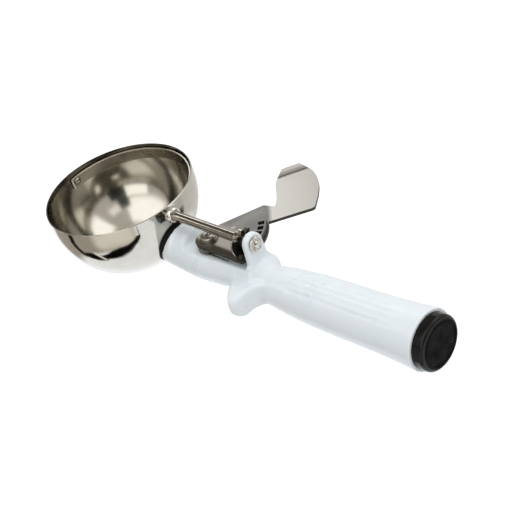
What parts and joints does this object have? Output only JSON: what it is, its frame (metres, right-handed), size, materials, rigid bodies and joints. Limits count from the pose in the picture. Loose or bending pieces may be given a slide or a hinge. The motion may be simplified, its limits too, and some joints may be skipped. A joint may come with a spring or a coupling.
{
  "type": "lever ice cream scoop",
  "caption": "Hemispherical metal ice cream scoop with a geared sweeping scraper worked by a sprung thumb lever, on a moulded handle.",
  "frame": {"origin": "centre of the bowl's sphere, which lies on the scraper's axis", "axes": "+X along the handle to its butt, +Y towards the thumb lever, +Z out of the bowl's mouth"},
  "size_m": [0.2361, 0.1025, 0.0448],
  "materials": {
    "polished_steel": "mirror-polished stainless steel",
    "bright_steel": "polished stainless strip",
    "satin_steel": "satin stainless, cut teeth",
    "lever_steel": "satin stamped stainless sheet",
    "spring_steel": "drawn stainless spring wire",
    "seal_rubber": "black moulded rubber",
    "handle_plastic": "glossy white moulded plastic",
    "cap_plastic": "black moulded plastic"
  },
  "bodies": {
    "root": {"bowl": "polished_steel", "bowl_stem": "satin_steel", "neck_seal": "seal_rubber", "handle": "handle_plastic", "end_cap": "cap_plastic", "stem_washer": "satin_steel", "stem_nut": "satin_steel", "front_pivot_rivet": "bright_steel", "front_shaft_bush": "bright_steel", "rear_shaft_bush": "bright_steel", "lever_pivot_bush": "satin_steel", "lever_pivot_pin": "satin_steel", "lever_washer": "satin_steel", "return_spring": "spring_steel", "lever_stop_pin": "satin_steel"},
    "lever": {"thumb_lever": "lever_steel", "spring_post": "satin_steel"},
    "scraper": {"scraper_blade": "bright_steel", "scraper_shaft": "bright_steel", "pinion_gear": "satin_steel", "pinion_pin": "satin_steel", "pinion_washer": "satin_steel", "shaft_retainer": "bright_steel"}
  },
  "joints": [
    {"name": "lever_hinge", "type": "hinge", "parent": "root", "child": "lever", "pos_m": [0.0619, 0, -0.008], "axis": [0, 0, 1], "range_deg": [-31, 0], "stiffness_Nm_per_rad": 0.12, "springref_deg": 20.05, "deforming": ["return_spring"]},
    {"name": "scraper_hinge", "type": "hinge", "parent": "root", "child": "scraper", "pos_m": [0, 0, 0], "axis": [1, 0, 0], "range_deg": [-171, 0]}
  ],
  "couplings": [
    {"joint": "scraper_hinge", "follows": "lever_hinge", "ratio": 5.5}
  ]
}
